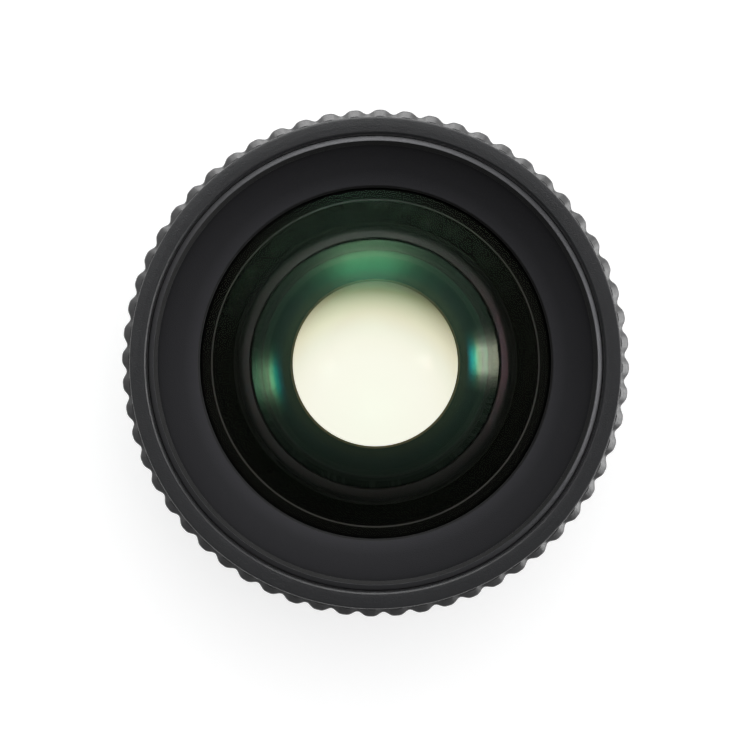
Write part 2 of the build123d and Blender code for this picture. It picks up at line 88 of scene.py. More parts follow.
def rampNode(tree, factor, stops, interpolation="LINEAR"):
    node = addNode(tree, "ShaderNodeValToRGB", {"Fac": factor})
    node.color_ramp.interpolation = interpolation
    elements = node.color_ramp.elements
    while len(elements) < len(stops):
        elements.new(0.5)
    for element, (place, colour) in zip(elements, stops):
        element.position = place
        element.color = (*colour, 1.0)
    return node.outputs["Color"]


def grainMaterial(name, colour, darker, roughness, grain, bump, sheen=0.0, specular=0.5, metallic=0.0,
                  coat=0.0, coatRoughness=0.4):
    # A solid finish: fine grain in the bump and roughness, and a slow drift in the colour
    material, tree = emptyMaterial(name)
    place = addNode(tree, "ShaderNodeTexCoord").outputs["Object"]
    fine = addNode(tree, "ShaderNodeTexNoise", {"Vector": place, "Scale": 1 / (grain * mm), "Detail": 2.0})
    slow = addNode(tree, "ShaderNodeTexNoise", {"Vector": place, "Scale": 90.0, "Detail": 3.0})
    tone = rampNode(tree, slow.outputs["Fac"], [(0.35, darker), (0.7, colour)])
    spread = roughness[1] - roughness[0]
    rough = calc(tree, "MULTIPLY_ADD", fine.outputs["Fac"], spread, roughness[0])
    relief = addNode(tree, "ShaderNodeBump",
                     {"Height": fine.outputs["Fac"], "Strength": bump, "Distance": grain * mm})
    shader = addNode(tree, "ShaderNodeBsdfPrincipled", {
        "Base Color": tone,
        "Roughness": rough,
        "Normal": relief.outputs["Normal"],
        "Metallic": metallic,
        "Specular IOR Level": specular,
        "Sheen Weight": sheen,
        "Coat Weight": coat,
        "Coat Roughness": coatRoughness,
        "Coat Normal": relief.outputs["Normal"],
    })
    addNode(tree, "ShaderNodeOutputMaterial", {"Surface": shader.outputs["BSDF"]})
    return material


# Finishes, as linear colours

blackAnodised = grainMaterial("blackAnodised", (0.0090, 0.0092, 0.0105), (0.0075, 0.0077, 0.0088),
                              (0.31, 0.39), 0.16, 0.22)
blackMatt = grainMaterial("blackMatt", (0.016, 0.016, 0.018), (0.012, 0.012, 0.013), (0.55, 0.68), 0.13, 0.3)
deepBlack = grainMaterial("deepBlack", (0.006, 0.006, 0.006), (0.004, 0.004, 0.004), (0.6, 0.75), 0.13, 0.2,
                          specular=0.25)
gripBlack = grainMaterial("gripBlack", (0.014, 0.014, 0.015), (0.011, 0.011, 0.012), (0.26, 0.36),
                          0.22, 0.12, coat=0.55)
# The blacked rims of the glass, seen through it: lampblack, a greyer outer part whose grey is painted light,
# making up for light that does not reach it, and a painted highlight line between, standing for a lit edge
rimBlack = grainMaterial("rimBlack", (0.0002, 0.0002, 0.0002), (0.0, 0.0, 0.0), (0.55, 0.6), 0.5, 0.0,
                         specular=0.0)
rimPaintedLightGrey = grainMaterial("rimPaintedLightGrey", (0.0045, 0.0045, 0.0045), (0.0035, 0.0035, 0.0035), (0.55, 0.6), 0.5, 0.0,
                        specular=0.0)
rimHighlightLine = grainMaterial("rimHighlightLine", (0.042, 0.041, 0.039), (0.032, 0.031, 0.030), (0.4, 0.5), 0.5, 0.0)
sealRubber = grainMaterial("sealRubber", (0.016, 0.016, 0.017), (0.012, 0.012, 0.012), (0.6, 0.75), 0.2, 0.3)
glidePlastic = grainMaterial("glidePlastic", (0.80, 0.80, 0.77), (0.74, 0.74, 0.70), (0.35, 0.45), 0.3, 0.1)
feltBlack = grainMaterial("feltBlack", (0.015, 0.015, 0.016), (0.008, 0.008, 0.009), (0.9, 1.0), 0.09, 0.9,
                          sheen=0.4)
blackSteel = grainMaterial("blackSteel", (0.07, 0.07, 0.075), (0.045, 0.045, 0.05), (0.25, 0.38), 0.12, 0.2,
                           metallic=0.9)


paint = {"fadeReach": 30.0, "grain": 0.14, "bump": 0.25}


def zonedMaterial(name, heights, radii, outside, inside):
    # Two finishes on one piece: the inside one between two heights and two radii, in mm
    material, tree = emptyMaterial(name)
    spot = addNode(tree, "ShaderNodeTexCoord").outputs["Object"]
    place = addNode(tree, "ShaderNodeSeparateXYZ", {0: spot})
    away = calc(tree, "SQRT", calc(tree, "ADD", calc(tree, "POWER", place.outputs["X"], 2.0),
                                   calc(tree, "POWER", place.outputs["Y"], 2.0)))
    # The outside finish changes its level with the distance from the axis, as its fade says; an uneven fade
    # is painted shade
    tone = rampNode(tree, calc(tree, "DIVIDE", away, paint["fadeReach"] * mm), [
        (share, tuple(level * channel for channel in outside["colour"]))
        for share, level in outside["fade"]])
    zone = 1.0
    for value, (least, most) in ((place.outputs["Z"], heights), (away, radii)):
        zone = calc(tree, "MULTIPLY", zone, calc(tree, "GREATER_THAN", value, least * mm))
        zone = calc(tree, "MULTIPLY", zone, calc(tree, "LESS_THAN", value, most * mm))
    grain = addNode(tree, "ShaderNodeTexNoise", {
        "Vector": spot,
        "Scale": 1 / (paint["grain"] * mm),
        "Detail": 2.0,
    })
    relief = addNode(tree, "ShaderNodeBump", {
        "Height": grain.outputs["Fac"],
        "Strength": paint["bump"],
        "Distance": paint["grain"] * mm,
    })
    shaders = []
    for finish, colour in ((outside, tone), (inside, (*inside["colour"], 1.0))):
        shaders.append(addNode(tree, "ShaderNodeBsdfPrincipled", {
            "Base Color": colour,
            "Roughness": finish["roughness"],
            "Specular IOR Level": finish["specular"],
            "Metallic": finish["metallic"],
            "Normal": relief.outputs["Normal"],
        }).outputs["BSDF"])
    mixed = addNode(tree, "ShaderNodeMixShader", {0: zone, 1: shaders[0], 2: shaders[1]})
    addNode(tree, "ShaderNodeOutputMaterial", {"Surface": mixed.outputs[0]})
    return material


# Each fade is (share of the reach, level). The cone's fade is painted shade: the cone is lighter inwards and
# darker out towards the bezel wall, and the thread outside it darker still, as shade in the recess
coneShadeFade = ((0.0, 1.55), (0.74, 1.55), (0.80, 1.0), (0.89, 0.82), (0.902, 0.6), (1.0, 0.6))
evenFade = ((0.0, 1.0), (1.0, 1.0))
mattPaint = {"colour": (0.0185, 0.0185, 0.0202), "roughness": 0.85, "specular": 0.1, "metallic": 0.0,
             "fade": coneShadeFade}
deepPaint = {"colour": (0.006, 0.006, 0.006), "roughness": 0.7, "specular": 0.25, "metallic": 0.0,
             "fade": evenFade}
satinEdge = {"colour": (0.060, 0.060, 0.063), "roughness": 0.42, "specular": 0.5, "metallic": 1.0}
paintedWallHighlight = {"colour": (0.035, 0.034, 0.034), "roughness": 0.8, "specular": 0.1, "metallic": 0.0}
satinFace = {"colour": (0.041, 0.045, 0.043), "roughness": 0.42, "specular": 0.5, "metallic": 1.0}
warmTip = {"colour": (0.30, 0.19, 0.06), "roughness": 0.5, "specular": 0.5, "metallic": 0.0}
ridgeZone = {"fall": 0.40, "over": 0.1, "inner": 27.505, "outer": 29.0}
baffleBlack = zonedMaterial("baffleBlack", (topOf("light_baffle") - ridgeZone["fall"],
                                            topOf("light_baffle") + ridgeZone["over"]),
                            (ridgeZone["inner"], ridgeZone["outer"]), mattPaint, satinEdge)
# Painted highlight: a lighter grey band on the barrel's ledge wall, between these heights and radii, stands
# for the line where light catches the wall
barrelStep = {"low": 17.3, "high": 17.8, "inner": 10.0, "outer": 16.1}
barrelBlack = zonedMaterial("barrelBlack", (barrelStep["low"], barrelStep["high"]),
                            (barrelStep["inner"], barrelStep["outer"]), deepPaint, paintedWallHighlight)
middleLip = {"bore": 16.39, "drop": 0.34, "width": 1.02, "upstand": 0.2, "step": 0.25}
lipTop = topOf("middle_retaining_ring") - middleLip["drop"]
lipSkin = 0.02
middleRingBlack = zonedMaterial("middleRingBlack", (lipTop - lipSkin, lipTop + lipSkin),
                                (middleLip["bore"] + lipSkin, middleLip["bore"] + middleLip["width"]),
                                deepPaint, satinFace)
tubeTip = {"below": 0.1, "above": 1.0, "inner": 14.0, "outer": 15.0}
tubeFoot = bottomOf("inner_baffle_tube")
tubeBlack = zonedMaterial("tubeBlack", (tubeFoot - tubeTip["below"], tubeFoot + tubeTip["above"]),
                          (tubeTip["inner"], tubeTip["outer"]), deepPaint, warmTip)


def glassMaterial(name, ior, coating, tint):
    # Coated glass: the coating dims and colours what the surface reflects, a little unevenly
    material, tree = emptyMaterial(name)
    place = addNode(tree, "ShaderNodeTexCoord").outputs["Object"]
    slow = addNode(tree, "ShaderNodeTexNoise", {"Vector": place, "Scale": 40.0, "Detail": 1.0})
    weaker = tuple(0.85 * channel for channel in coating)
    reflection = rampNode(tree, slow.outputs["Fac"], [(0.3, weaker), (0.7, coating)])
    shader = addNode(tree, "ShaderNodeBsdfPrincipled", {
        "Base Color": (*tint, 1.0),
        "Roughness": 0.0,
        "IOR": ior,
        "Transmission Weight": 1.0,
        "Specular Tint": reflection,
    })
    addNode(tree, "ShaderNodeOutputMaterial", {"Surface": shader.outputs["BSDF"]})
    return material


clearTint = (0.992, 0.990, 0.962)
frontGlass = glassMaterial("frontGlass", 1.62, (0.085, 0.165, 0.11), clearTint)
frontGlassBack = glassMaterial("frontGlassBack", 1.62, (0.03, 0.05, 0.05), clearTint)
middleGlass = glassMaterial("middleGlass", 1.60, (0.30, 1.0, 0.52), clearTint)
middleGlassRim = glassMaterial("middleGlassRim", 1.60, (0.26, 0.60, 0.36), clearTint)
middleGlassBack = glassMaterial("middleGlassBack", 1.60, (0.04, 0.08, 0.06), clearTint)
crownGlass = glassMaterial("crownGlass", 1.70, (0.03, 0.05, 0.04), clearTint)
flintGlass = glassMaterial("flintGlass", 1.60, (0.03, 0.05, 0.04), clearTint)


# Mesh helpers

def roundCorners(corners, steps=5):
    # Each corner is (radius, height, rounding) in mm; a rounding of 0 keeps it sharp
    points = []
    for index, (x, y, rounding) in enumerate(corners):
        here = Vector((x, y))
        before = Vector(corners[index - 1][:2])
        after = Vector(corners[(index + 1) % len(corners)][:2])
        if rounding == 0:
            points.append(here)
            continue
        start = here + (before - here).normalized() * min(rounding, 0.49 * (before - here).length)
        end = here + (after - here).normalized() * min(rounding, 0.49 * (after - here).length)
        for step in range(steps + 1):
            share = step / steps
            points.append(start * (1 - share)**2 + here * 2 * share * (1 - share) + end * share**2)
    return points


def closeMesh(bm, sharpAngle=radians(32)):
    # Merges the seams, turns the faces outwards and shades them smooth up to the sharp edges
    bmesh.ops.remove_doubles(bm, verts=bm.verts, dist=1e-7)
    bmesh.ops.recalc_face_normals(bm, faces=bm.faces)
    for face in bm.faces:
        face.smooth = True
    for edge in bm.edges:
        edge.smooth = len(edge.link_faces) < 2 or edge.calc_face_angle(0.0) < sharpAngle


def finishMesh(name, bm, materials):
    closeMesh(bm)
    mesh = bpy.data.meshes.new(name)
    bm.to_mesh(mesh)
    bm.free()
    for material in materials:
        mesh.materials.append(material)
    piece = bpy.data.objects.new(name, mesh)
    bpy.context.scene.collection.objects.link(piece)
    return piece


def spin(name, outline, materials, covers=None, steps=256):
    # Turns a closed outline of (radius, height) in mm round the axis; covers gives each stretch a material
    bm = bmesh.new()
    rings = []
    for turn in range(steps):
        angle = 2 * pi * turn / steps
        rings.append([bm.verts.new((r * mm * cos(angle), r * mm * sin(angle), z * mm)) for r, z in outline])
    for turn in range(steps):
        here, there = rings[turn], rings[(turn + 1) % steps]
        for index in range(len(outline)):
            follower = (index + 1) % len(outline)
            if outline[index][0] == 0 and outline[follower][0] == 0:
                continue
            face = bm.faces.new((here[index], there[index], there[follower], here[follower]))
            face.material_index = covers[index] if covers else 0
    return finishMesh(name, bm, materials)


def keepResult(piece):
    # Turns what a piece's modifiers make into its own plain mesh
    evaluated = piece.evaluated_get(bpy.context.evaluated_depsgraph_get())
    mesh = bpy.data.meshes.new_from_object(evaluated)
    piece.modifiers.clear()
    piece.data = mesh
    bm = bmesh.new()
    bm.from_mesh(mesh)
    closeMesh(bm)
    bm.to_mesh(mesh)
    bm.free()
    return piece


def applyNodes(piece, group, values):
    modifier = piece.modifiers.new(group.name, "NODES")
    modifier.node_group = group
    for item in group.interface.items_tree:
        if item.item_type == "SOCKET" and item.in_out == "INPUT" and item.name in values:
            modifier[item.identifier] = values[item.name]
    return keepResult(piece)


def cutHoles(pieces, cutter):
    for piece in pieces:
        hole = piece.modifiers.new("hole", "BOOLEAN")
        hole.operation, hole.solver, hole.object = "DIFFERENCE", "EXACT", cutter
        keepResult(piece)
    bpy.data.objects.remove(cutter)


def newGroup(name, sockets):
    group = bpy.data.node_groups.new(name, "GeometryNodeTree")
    group.interface.new_socket("Geometry", in_out="INPUT", socket_type="NodeSocketGeometry")
    for label, kind, value in sockets:
        socket = group.interface.new_socket(label, in_out="INPUT", socket_type="NodeSocket" + kind)
        if value is not None:
            socket.default_value = value
    group.interface.new_socket("Geometry", in_out="OUTPUT", socket_type="NodeSocketGeometry")
    return group, group.nodes.new("NodeGroupInput"), group.nodes.new("NodeGroupOutput")


# Copies of one piece, evenly turned round the axis
turnedCopies, given, result = newGroup("turnedCopies", [
    ("Count", "Int", 3),
    ("Turn", "Float", 0.0),
    ("Weld", "Float", 0.000001),
    ("Material", "Material", None),
])
centres = addNode(turnedCopies, "GeometryNodeMeshLine", {
    "Count": given.outputs["Count"],
    "Offset": (0, 0, 0),
})
number = addNode(turnedCopies, "GeometryNodeInputIndex").outputs[0]
pitchAngle = calc(turnedCopies, "DIVIDE", 2 * pi, given.outputs["Count"])
angleOf = calc(turnedCopies, "MULTIPLY_ADD", number, pitchAngle, given.outputs["Turn"])
turning = addNode(turnedCopies, "ShaderNodeCombineXYZ", {"Z": angleOf})
copies = addNode(turnedCopies, "GeometryNodeInstanceOnPoints", {
    "Points": centres.outputs["Mesh"],
    "Instance": given.outputs["Geometry"],
    "Rotation": turning.outputs[0],
})
solid = addNode(turnedCopies, "GeometryNodeRealizeInstances", {"Geometry": copies.outputs[0]})
welded = addNode(turnedCopies, "GeometryNodeMergeByDistance", {
    "Geometry": solid.outputs[0],
    "Distance": given.outputs["Weld"],
})
dressed = addNode(turnedCopies, "GeometryNodeSetMaterial", {
    "Geometry": welded.outputs[0],
    "Material": given.outputs["Material"],
})
turnedCopies.links.new(dressed.outputs[0], result.inputs[0])

# A closed helical ridge with a trapezium section, which runs out to a point at both ends.
# Its half widths are shares of the pitch, and its root lies a share of the depth below the flanks' feet
ridge = {"crestHalf": 0.06, "footHalf": 0.47, "rootDrop": 0.3}
helixThread, given, result = newGroup("helixThread", [
    ("Radius", "Float", 0.018),
    ("Depth", "Float", 0.0004),
    ("Pitch", "Float", 0.00075),
    ("Turns", "Float", 4.0),
    ("Bottom", "Float", 0.0),
    ("Runout", "Float", 0.06),
    ("Steps", "Int", 1000),
    ("Material", "Material", None),
])
sheet = addNode(helixThread, "GeometryNodeMeshGrid", {
    "Size X": 1.0,
    "Size Y": 1.0,
    "Vertices X": given.outputs["Steps"],
    "Vertices Y": 6,
})


def onThread(operation, *values):
    return calc(helixThread, operation, *values)


spot = addNode(helixThread, "GeometryNodeInputPosition").outputs[0]
spotParts = addNode(helixThread, "ShaderNodeSeparateXYZ", {0: spot})
along = onThread("ADD", spotParts.outputs["X"], 0.5)
across = spotParts.outputs["Y"]
turns = onThread("MULTIPLY", along, given.outputs["Turns"])
angleAlong = onThread("MULTIPLY", turns, 2 * pi)
# The six points across are the root below, flank foot, two crest corners, flank foot and the root again,
# at 0.5, 0.3 and 0.1 to either side of the sheet's middle
fromCrest = onThread("ABSOLUTE", across)
flank = onThread("MAXIMUM", onThread("MULTIPLY_ADD", fromCrest, -5.0, 1.5), -ridge["rootDrop"])
fromStart = onThread("DIVIDE", along, given.outputs["Runout"])
fromEnd = onThread("DIVIDE", onThread("SUBTRACT", 1.0, along), given.outputs["Runout"])
fade = onThread("MINIMUM", onThread("MINIMUM", fromStart, fromEnd), 1.0)
rise = onThread("MULTIPLY", onThread("MULTIPLY", flank, fade), given.outputs["Depth"])
reach = onThread("ADD", given.outputs["Radius"], rise)
fromFoot = onThread("ABSOLUTE", onThread("SUBTRACT", fromCrest, 0.3))
spread = onThread("MULTIPLY_ADD", fromFoot, (ridge["crestHalf"] - ridge["footHalf"]) / 0.2,
                  ridge["footHalf"])
spread = onThread("MULTIPLY", spread, onThread("LESS_THAN", fromCrest, 0.45))
spread = onThread("MULTIPLY", onThread("MULTIPLY", spread, fade), onThread("SIGN", across))
level = onThread("MULTIPLY_ADD", onThread("ADD", spread, turns), given.outputs["Pitch"],
                 given.outputs["Bottom"])
threadSpot = addNode(helixThread, "ShaderNodeCombineXYZ", {
    "X": onThread("MULTIPLY", reach, onThread("COSINE", angleAlong)),
    "Y": onThread("MULTIPLY", reach, onThread("SINE", angleAlong)),
    "Z": level,
})
wound = addNode(helixThread, "GeometryNodeSetPosition", {
    "Geometry": sheet.outputs["Mesh"],
    "Position": threadSpot.outputs[0],
})
realThread = addNode(helixThread, "GeometryNodeRealizeInstances", {"Geometry": wound.outputs[0]})
dressedThread = addNode(helixThread, "GeometryNodeSetMaterial", {
    "Geometry": realThread.outputs[0],
    "Material": given.outputs["Material"],
})
helixThread.links.new(dressedThread.outputs[0], result.inputs[0])


def placePiece(piece, body, slotName, *replaced):
    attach(piece, body)
    if replaced:
        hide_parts(*replaced)
    return piece


# Front bezel: its inner edge and the baffle's ridge leave a narrow groove
bezel = {"wall": 2.1, "edge": 0.3, "mouthEdge": 0.25, "heelEdge": 0.3, "web": 0.8, "grooveDepth": 0.5,
         "skirtWall": 1.0, "groove": 0.15}
bezelRadius = outerRadius("front_bezel")
bezelTop = topOf("front_bezel")
bezelBottom = topOf("light_seal_ring")
webTop = bezelBottom + bezel["web"]
skirtRadius = outerRadius("main_barrel")
neckRadius = skirtRadius - bezel["skirtWall"]
mouthRadius = bezelRadius - bezel["wall"]
frontBezel = spin("frontBezel", roundCorners([
    (neckRadius, bottomOf("front_bezel"), 0),
    (skirtRadius, bottomOf("front_bezel"), 0),
    (skirtRadius, bezelBottom, 0),
    (bezelRadius, bezelBottom, bezel["heelEdge"]),
    (bezelRadius, bezelTop, bezel["edge"]),
    (mouthRadius + bezel["mouthEdge"], bezelTop, 0.06),
    (mouthRadius, bezelTop - bezel["mouthEdge"], 0.05),
    (mouthRadius, bezelTop - bezel["grooveDepth"], 0),
    (mouthRadius - bezel["groove"], bezelTop - bezel["grooveDepth"], 0),
    (mouthRadius - bezel["groove"], webTop, 0),
    (neckRadius, webTop, 0),
]), [blackAnodised], steps=360)
placePiece(frontBezel, "optical_unit", "black_anodised", "front_bezel")
print("bezel made")

# Light baffle: bright ridge, accessory thread, and a matt cone down to the retaining ring
baffle = {"ridgeWidth": 0.65, "ridgeFall": 0.38, "wall": 1.11, "threadDepth": 0.41, "pitch": 0.75,
          "wallHeight": 3.6, "mouth": 22.2, "lip": 0.35, "lipWidth": 0.6, "gap": 0.05, "relief": 0.3,
          "threadStart": 0.55, "threadEnds": 0.9}
baffleRadius = outerRadius("light_baffle")
baffleBottom = bottomOf("light_baffle")
ridgeTop = topOf("light_baffle")
accessoryBore = baffleRadius - baffle["wall"]
threadWall = accessoryBore + baffle["threadDepth"]
coneTop = ridgeTop - baffle["wallHeight"]
lightBaffle = spin("lightBaffle", roundCorners([
    (neckRadius - baffle["gap"], webTop, 0),
    (baffleRadius, webTop, 0),
    (baffleRadius, ridgeTop - baffle["ridgeFall"], 0.12),
    (baffleRadius - baffle["ridgeWidth"], ridgeTop, 0.12),
    (threadWall, ridgeTop, 0.03),
    (threadWall, coneTop + baffle["relief"], 0),
    (accessoryBore, coneTop, 0.05),
    (baffle["mouth"], baffleBottom + baffle["lip"], 0.05),
    (baffle["mouth"], baffleBottom, 0.04),
    (baffle["mouth"] + baffle["lipWidth"], baffleBottom, 0),
]), [baffleBlack], steps=360)
placePiece(lightBaffle, "optical_unit", "black_matt", "light_baffle")

threadTurns = (baffle["wallHeight"] - baffle["relief"]) / baffle["pitch"] - baffle["threadEnds"]
accessoryThread = finishMesh("accessoryThread", bmesh.new(), [deepBlack])
applyNodes(accessoryThread, helixThread, {
    "Radius": threadWall * mm,
    "Depth": -baffle["threadDepth"] * mm,
    "Pitch": baffle["pitch"] * mm,
    "Turns": threadTurns,
    "Bottom": (coneTop + baffle["threadStart"]) * mm,
    "Steps": int(300 * threadTurns),
    "Material": deepBlack,
})
placePiece(accessoryThread, "optical_unit", "black_matt")
print("baffle made")


# Glass

def surfaceHeight(vertex, curve, radius):
    return vertex - copysign(abs(curve) - sqrt(curve**2 - radius**2), curve)


def lens(name, front, rear, edgeRadius, materials, rim=None, stripe=None, rings=36):
    # front and rear are (vertex, curve, clear radius) in mm; materials are front, rear and the blacked rim.
    # rim is a polished bevel round the front surface: its outer radius and its drop.
    # stripe is a painted highlight line in the rear rim, standing for a lit edge: its inner and outer
    # radius, and the rim's lift off its seat
    frontVertex, frontCurve, frontClear = front
    rearVertex, rearCurve, rearClear = rear
    outline, covers = [], []
    for step in range(rings + 1):
        r = rearClear * step / rings
        outline.append((r, surfaceHeight(rearVertex, rearCurve, r)))
        covers.append(1)
    covers[-1] = 2
    if stripe:
        seat = outline[-1][1] + stripe[2]
        outline += [(stripe[0], seat), (stripe[1], seat)]
        covers += [4, 3]
    rimHeight = surfaceHeight(frontVertex, frontCurve, frontClear)
    outline.append((edgeRadius, outline[-1][1]))
    covers.append(covers[-1])
    if rim:
        outline += [(edgeRadius, rimHeight - rim[1]), (rim[0], rimHeight - rim[1])]
        covers += [2, 3]
    else:
        outline.append((edgeRadius, rimHeight))
        covers.append(2)
    for step in range(rings + 1):
        r = frontClear * (1 - step / rings)
        outline.append((r, surfaceHeight(frontVertex, frontCurve, r)))
        covers.append(0)
    return spin(name, outline, materials, covers, steps=240)


glass = {"frontCurve": 92.0, "frontInnerCurve": 27.0, "frontClear": 17.3, "frontThickness": 2.0,
         "middleCurve": 200.0, "middleInnerCurve": 50.0, "middleFront": 15.0, "middleClear": 16.45,
         "middleRim": 16.4, "middleRimDrop": 0.075, "middleThickness": 1.8,
         "crownCurve": 60.0, "cementCurve": -48.0, "rearCurve": -113.5, "rearClear": 16.35,
         "flintThickness": 1.6, "rim": 0.2, "cementGap": 0.004, "stripeInner": 19.93, "stripeOuter": 20.12,
         "seatGap": 0.012}
frontVertex = topOf("front_element")
frontElement = lens("frontElement",
                    (frontVertex, glass["frontCurve"], outerRadius("front_element") - glass["rim"]),
                    (frontVertex - glass["frontThickness"], glass["frontInnerCurve"], glass["frontClear"]),
                    outerRadius("front_element"), [frontGlass, frontGlassBack, rimBlack, rimPaintedLightGrey, rimHighlightLine],
                    stripe=(glass["stripeInner"], glass["stripeOuter"], glass["seatGap"]))
placePiece(frontElement, "optical_unit", "coated_glass", "front_element")

middleVertex = topOf("middle_element")
middleBackVertex = middleVertex - glass["middleThickness"]
middleElement = lens("middleElement",
                     (middleVertex, glass["middleCurve"], glass["middleFront"]),
                     (middleBackVertex, glass["middleInnerCurve"], glass["middleClear"]),
                     outerRadius("middle_element"),
                     [middleGlass, middleGlassBack, rimBlack, middleGlassRim],
                     (glass["middleRim"], glass["middleRimDrop"]))
placePiece(middleElement, "optical_unit", "coated_glass", "middle_element")

crownVertex = topOf("rear_crown_element")
rearVertex = bottomOf("rear_flint_element")
cementVertex = rearVertex + glass["flintThickness"]
crownElement = lens("crownElement",
                    (crownVertex, glass["crownCurve"], glass["rearClear"]),
                    (cementVertex + glass["cementGap"], glass["cementCurve"], glass["rearClear"]),
                    outerRadius("rear_crown_element"), [crownGlass, crownGlass, deepBlack])
placePiece(crownElement, "optical_unit", "coated_glass", "rear_crown_element")
flintElement = lens("flintElement",
                    (cementVertex, glass["cementCurve"], glass["rearClear"]),
                    (rearVertex, glass["rearCurve"], glass["rearClear"]),
                    outerRadius("rear_flint_element"), [flintGlass, flintGlass, deepBlack])
placePiece(flintElement, "optical_unit", "coated_glass", "rear_flint_element")
print("glass made")

# Tapered baffle tube in front of the rear doublet
tube = {"footWidth": 1.7, "wall": 0.45, "edge": 0.08}
tubeOuter = outerRadius("inner_baffle_tube")
tubeTop, tubeBottom = topOf("inner_baffle_tube"), bottomOf("inner_baffle_tube")
baffleTube = spin("baffleTube", roundCorners([
    (tubeOuter - tube["footWidth"], tubeBottom, tube["edge"]),
    (tubeOuter, tubeBottom, 0),
    (tubeOuter, tubeTop, 0),
    (tubeOuter - tube["wall"], tubeTop, tube["edge"]),
]), [tubeBlack])
placePiece(baffleTube, "optical_unit", "black_matt", "inner_baffle_tube")

# Retaining ring of the middle element, with a low satin lip on the glass and a small upstand round it
ringTop, ringBottom = topOf("middle_retaining_ring"), bottomOf("middle_retaining_ring")
lipEdge = middleLip["bore"] + middleLip["width"]
middleRing = spin("middleRing", roundCorners([
    (middleLip["bore"], ringBottom, 0),
    (outerRadius("middle_retaining_ring"), ringBottom, 0),
    (outerRadius("middle_retaining_ring"), ringTop - middleLip["step"], 0.05),
    (lipEdge + middleLip["upstand"], ringTop - middleLip["step"], 0),
    (lipEdge + middleLip["upstand"], ringTop, 0.04),
    (lipEdge, ringTop, 0.04),
    (lipEdge, lipTop, 0),
    (middleLip["bore"], lipTop, 0.03),
]), [middleRingBlack])
placePiece(middleRing, "optical_unit", "black_matt", "middle_retaining_ring")

# Fluted grip: one rib, copied round the sleeve
grip = {"ribs": 60, "turn": 4.86, "ribDepth": 0.56, "ribShape": 1.8, "seat": 29.6, "endRun": 0.82,
        "endAngle": 33.0, "endRadius": 0.36, "rearEndRun": 0.5, "rearEndDrop": 0.5, "columns": 20,
        "endRows": 7, "weld": 0.02}
gripRadius = outerRadius("grip_sleeve")
gripTop, gripBottom = topOf("grip_sleeve"), bottomOf("grip_sleeve")


def fluteDepth(share):
    # Depth below the crest, from the middle of a flute at 0 to the middle of a rib at 1
    return grip["ribDepth"] * (0.5 + 0.5 * cos(pi * share)) ** grip["ribShape"]


def ribColumn(angle):
    # One closed outline through the sleeve at an angle from the middle of a rib
    crest = gripRadius - fluteDepth(1 - abs(angle) * grip["ribs"] / pi)
    outline = [(grip["seat"], gripBottom)]
    for step in range(grip["endRows"] + 1):
        swing = 0.5 * pi * step / grip["endRows"]
        outline.append((crest - grip["rearEndRun"] * (1 - sin(swing)),
                        gripBottom + grip["rearEndDrop"] * (1 - cos(swing))))
    # The front end slopes down evenly and then rounds over to the crest
    lean, bend = radians(grip["endAngle"]), grip["endRadius"]
    fall = tan(lean) * (grip["endRun"] - bend * (1 - sin(lean)))
    for step in range(grip["endRows"] + 1):
        swing = 0.5 * pi + (lean - 0.5 * pi) * step / grip["endRows"]
        outline.append((crest - bend * (1 - sin(swing)), gripTop - fall - bend * (cos(lean) - cos(swing))))
    outline.append((crest - grip["endRun"], gripTop))
    outline.append((grip["seat"], gripTop))
    return outline


ribMesh = bmesh.new()
columns = []
for column in range(grip["columns"] + 1):
    angle = pi / grip["ribs"] * (2 * column / grip["columns"] - 1)
    columns.append([ribMesh.verts.new((r * mm * cos(angle), r * mm * sin(angle), z * mm))
                    for r, z in ribColumn(angle)])
for here, there in zip(columns, columns[1:]):
    for index in range(len(here)):
        follower = (index + 1) % len(here)
        ribMesh.faces.new((here[index], there[index], there[follower], here[follower]))
gripSleeve = finishMesh("gripSleeve", ribMesh, [gripBlack])
applyNodes(gripSleeve, turnedCopies, {
    "Count": grip["ribs"],
    "Turn": radians(grip["turn"]),
    "Weld": grip["weld"] * mm,
    "Material": gripBlack,
})
placePiece(gripSleeve, "attachment_ring", "grip_rubber", "grip_sleeve")
print("grip made")

# Shell of the turning ring: bearing lip inside, seat for the grip, and the smooth band behind it
shell = {"wall": 2.15, "frontLipRise": 0.8, "bandEdge": 0.3, "lipEdge": 0.1, "glideGap": 0.02,
         "bearingBore": 20.45}
shellBore = skirtRadius + baffle["gap"]
gripSeat = shellBore + shell["wall"]
bandRadius = outerRadius("attachment_shell")
shellTop, shellBottom = topOf("attachment_shell"), bottomOf("attachment_shell")
bearingTop = bottomOf("front_glide_washer") - shell["glideGap"]
bearingBottom = topOf("rear_glide_washer") + shell["glideGap"]
attachmentShell = spin("attachmentShell", roundCorners([
    (shellBore, bearingTop, 0),
    (shellBore, shellTop, shell["lipEdge"]),
    (gripSeat + shell["frontLipRise"], shellTop, 2 * shell["lipEdge"]),
    (gripSeat + shell["frontLipRise"], gripTop, 0),
    (gripSeat, gripTop, 0),
    (gripSeat, gripBottom, 0),
    (bandRadius, gripBottom, shell["bandEdge"]),
    (bandRadius, shellBottom, shell["lipEdge"]),
    (shellBore, shellBottom, 0),
    (shellBore, bearingBottom, 0),
    (shell["bearingBore"], bearingBottom, shell["lipEdge"]),
    (shell["bearingBore"], bearingTop, shell["lipEdge"]),
]), [blackAnodised], steps=360)

